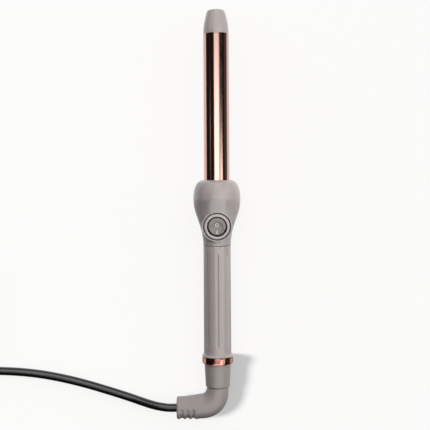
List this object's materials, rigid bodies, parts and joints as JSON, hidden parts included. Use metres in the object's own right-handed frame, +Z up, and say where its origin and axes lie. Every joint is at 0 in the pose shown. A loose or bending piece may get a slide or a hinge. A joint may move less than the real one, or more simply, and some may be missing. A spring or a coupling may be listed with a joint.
{
  "type": "curling wand",
  "caption": "Clipless curling wand with a heated round barrel, a bulb-shaped housing with a round rocker switch, a fluted grip, and a cord on a swivelling elbow.",
  "frame": {"origin": "on the table, under the middle of the lying wand's box; the free cord, its coil and its plug are left out of that box", "axes": "+Y along the wand from the elbow towards the cool tip, +Z up, the switch facing up; the cord leaves towards -X"},
  "size_m": [0.3983, 0.408, 0.0469],
  "materials": {
    "taupe_soft_touch": "soft-touch, satin",
    "rose_gold_plating": "mirror-bright plating",
    "black_nylon": "matte",
    "natural_nylon": "matte",
    "brown_phenolic": "matte",
    "zinc_plated_steel": "zinc plated",
    "extruded_aluminium": "as extruded",
    "rolled_brass": "rolled strip",
    "ceramic_and_film": "amber insulating film over ceramic",
    "glass_sleeved_wire": "woven sleeve",
    "black_cord_jacket": "satin",
    "black_hook_and_loop": "woven"
  },
  "bodies": {
    "cord_side": {"cord_elbow": "taupe_soft_touch", "swivel_shaft": "natural_nylon", "shaft_clip": "zinc_plated_steel", "slip_ring_line": "rolled_brass", "slip_ring_neutral": "rolled_brass", "cord_lead": "black_cord_jacket", "cord_coil": "black_cord_jacket", "cord_tie": "black_hook_and_loop", "cord_tail": "black_cord_jacket", "plug_body": "black_cord_jacket", "plug_blade_1": "rolled_brass", "plug_blade_2": "rolled_brass"},
    "wand": {"cool_tip": "taupe_soft_touch", "barrel_tube": "rose_gold_plating", "barrel_collar": "brown_phenolic", "collar_screw_1": "zinc_plated_steel", "collar_screw_2": "zinc_plated_steel", "heat_block_front": "extruded_aluminium", "heat_block_rear": "extruded_aluminium", "ptc_heater": "ceramic_and_film", "heater_spring": "zinc_plated_steel", "thermal_fuse": "zinc_plated_steel", "bulb_front": "taupe_soft_touch", "bulb_rear": "taupe_soft_touch", "switch_bezel": "taupe_soft_touch", "switch_cup": "black_nylon", "rocker_pin": "zinc_plated_steel", "terminal_feed": "rolled_brass", "terminal_switched": "rolled_brass", "lead_feed": "glass_sleeved_wire", "lead_switched": "glass_sleeved_wire", "lead_heater": "glass_sleeved_wire", "lead_neutral": "glass_sleeved_wire", "grip_tube": "taupe_soft_touch", "trim_band": "rose_gold_plating", "tail_cap": "taupe_soft_touch", "swivel_bush": "natural_nylon", "brush_holder": "natural_nylon", "brush_line": "rolled_brass", "brush_neutral": "rolled_brass"},
    "rocker": {"rocker_button": "taupe_soft_touch"},
    "contact": {"contact_arm": "rolled_brass"}
  },
  "joints": [
    {"name": "cord_swivel", "type": "hinge", "parent": "cord_side", "child": "wand", "pos_m": [0.00903, -0.17121, 0.01417], "axis": [0, 0.9988, 0.0491], "continuous": true},
    {"name": "power_rocker", "type": "hinge", "parent": "wand", "child": "rocker", "pos_m": [0.00903, -0.00942, 0.03642], "axis": [1, 0, 0], "range_deg": [0, 12]},
    {"name": "contact_tilt", "type": "hinge", "parent": "wand", "child": "contact", "pos_m": [0.00903, -0.00882, 0.03256], "axis": [1, 0, 0], "range_deg": [-12, 0]}
  ],
  "couplings": [
    {"joint": "contact_tilt", "follows": "power_rocker", "ratio": -1}
  ]
}
